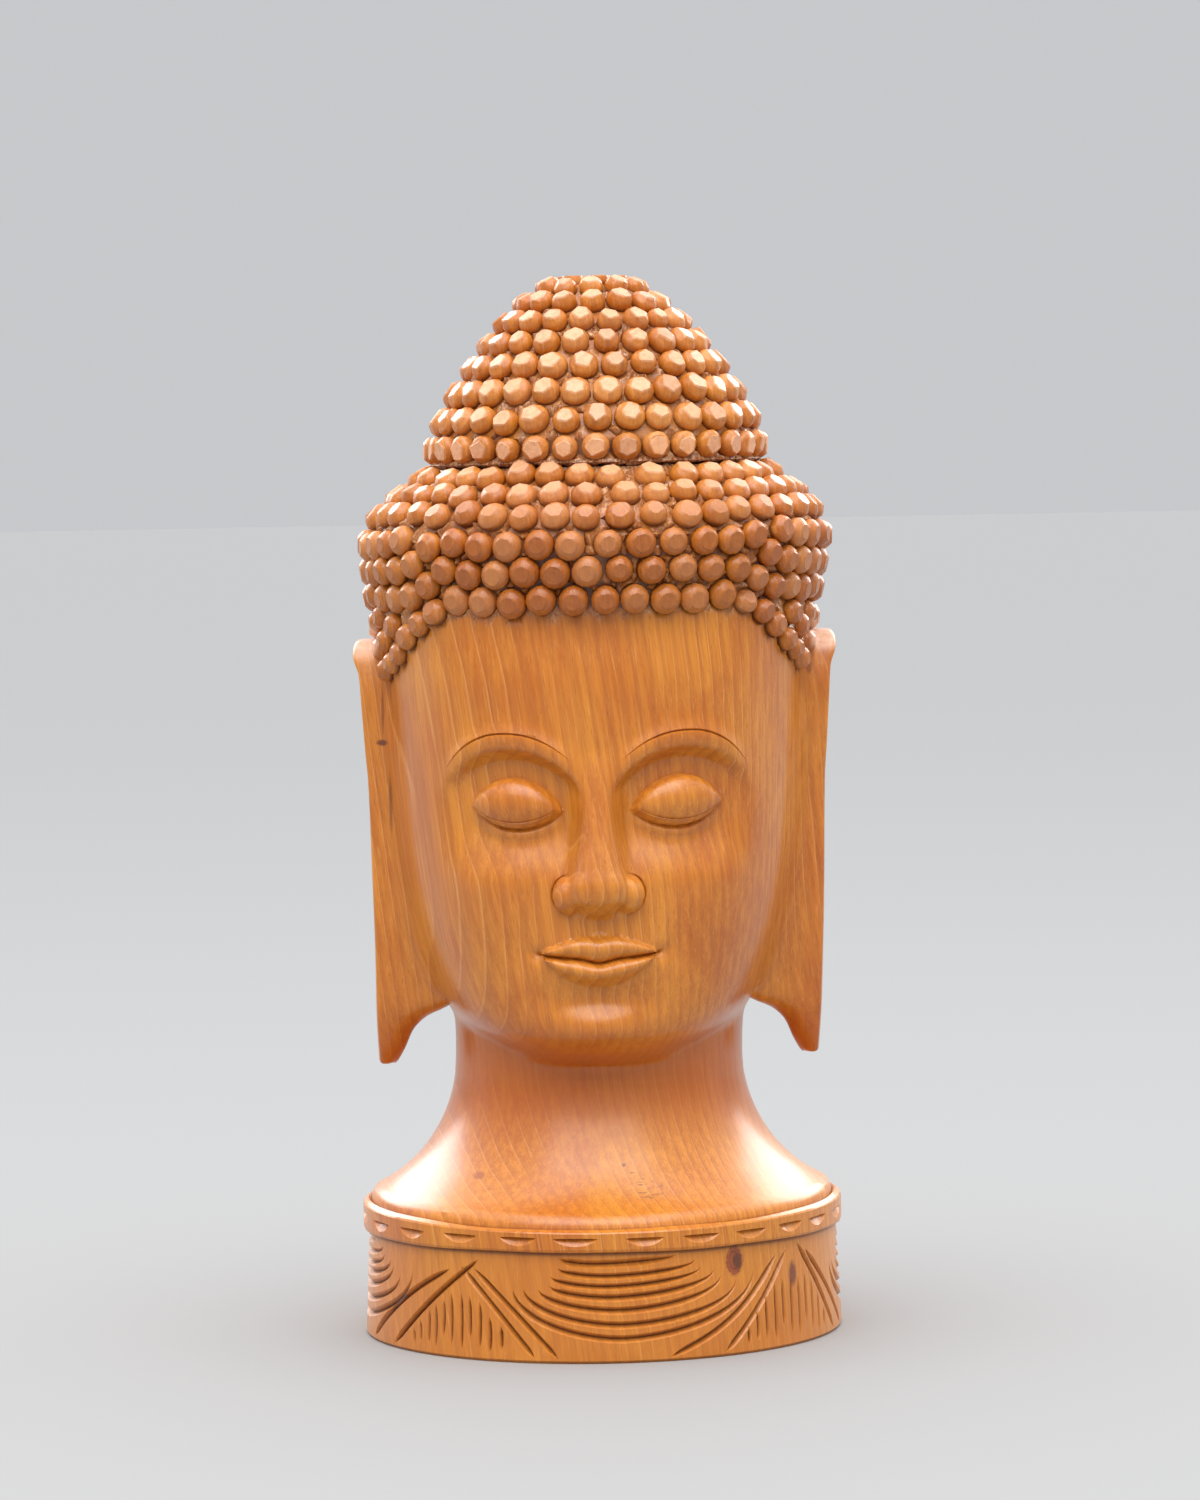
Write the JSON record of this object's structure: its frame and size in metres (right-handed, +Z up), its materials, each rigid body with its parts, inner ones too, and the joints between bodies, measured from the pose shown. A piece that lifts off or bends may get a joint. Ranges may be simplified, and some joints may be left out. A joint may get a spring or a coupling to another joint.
{
  "type": "carved wooden buddha head figurine",
  "caption": "Carved wooden Buddha head with a tall curled topknot, rows of round curls and long ear lobes, on a flared neck and a round base with cut line pattern.",
  "frame": {"origin": "centre of the round base's flat underside", "axes": "+Z up through the topknot, the face looks along -Y, +X is on the viewer's right"},
  "size_m": [0.0931, 0.0927, 0.203],
  "materials": {
    "varnished_wood": "orange-brown close-grained hardwood, clear satin varnish"
  },
  "bodies": {
    "root": {"carved_head": "varnished_wood"}
  },
  "joints": []
}
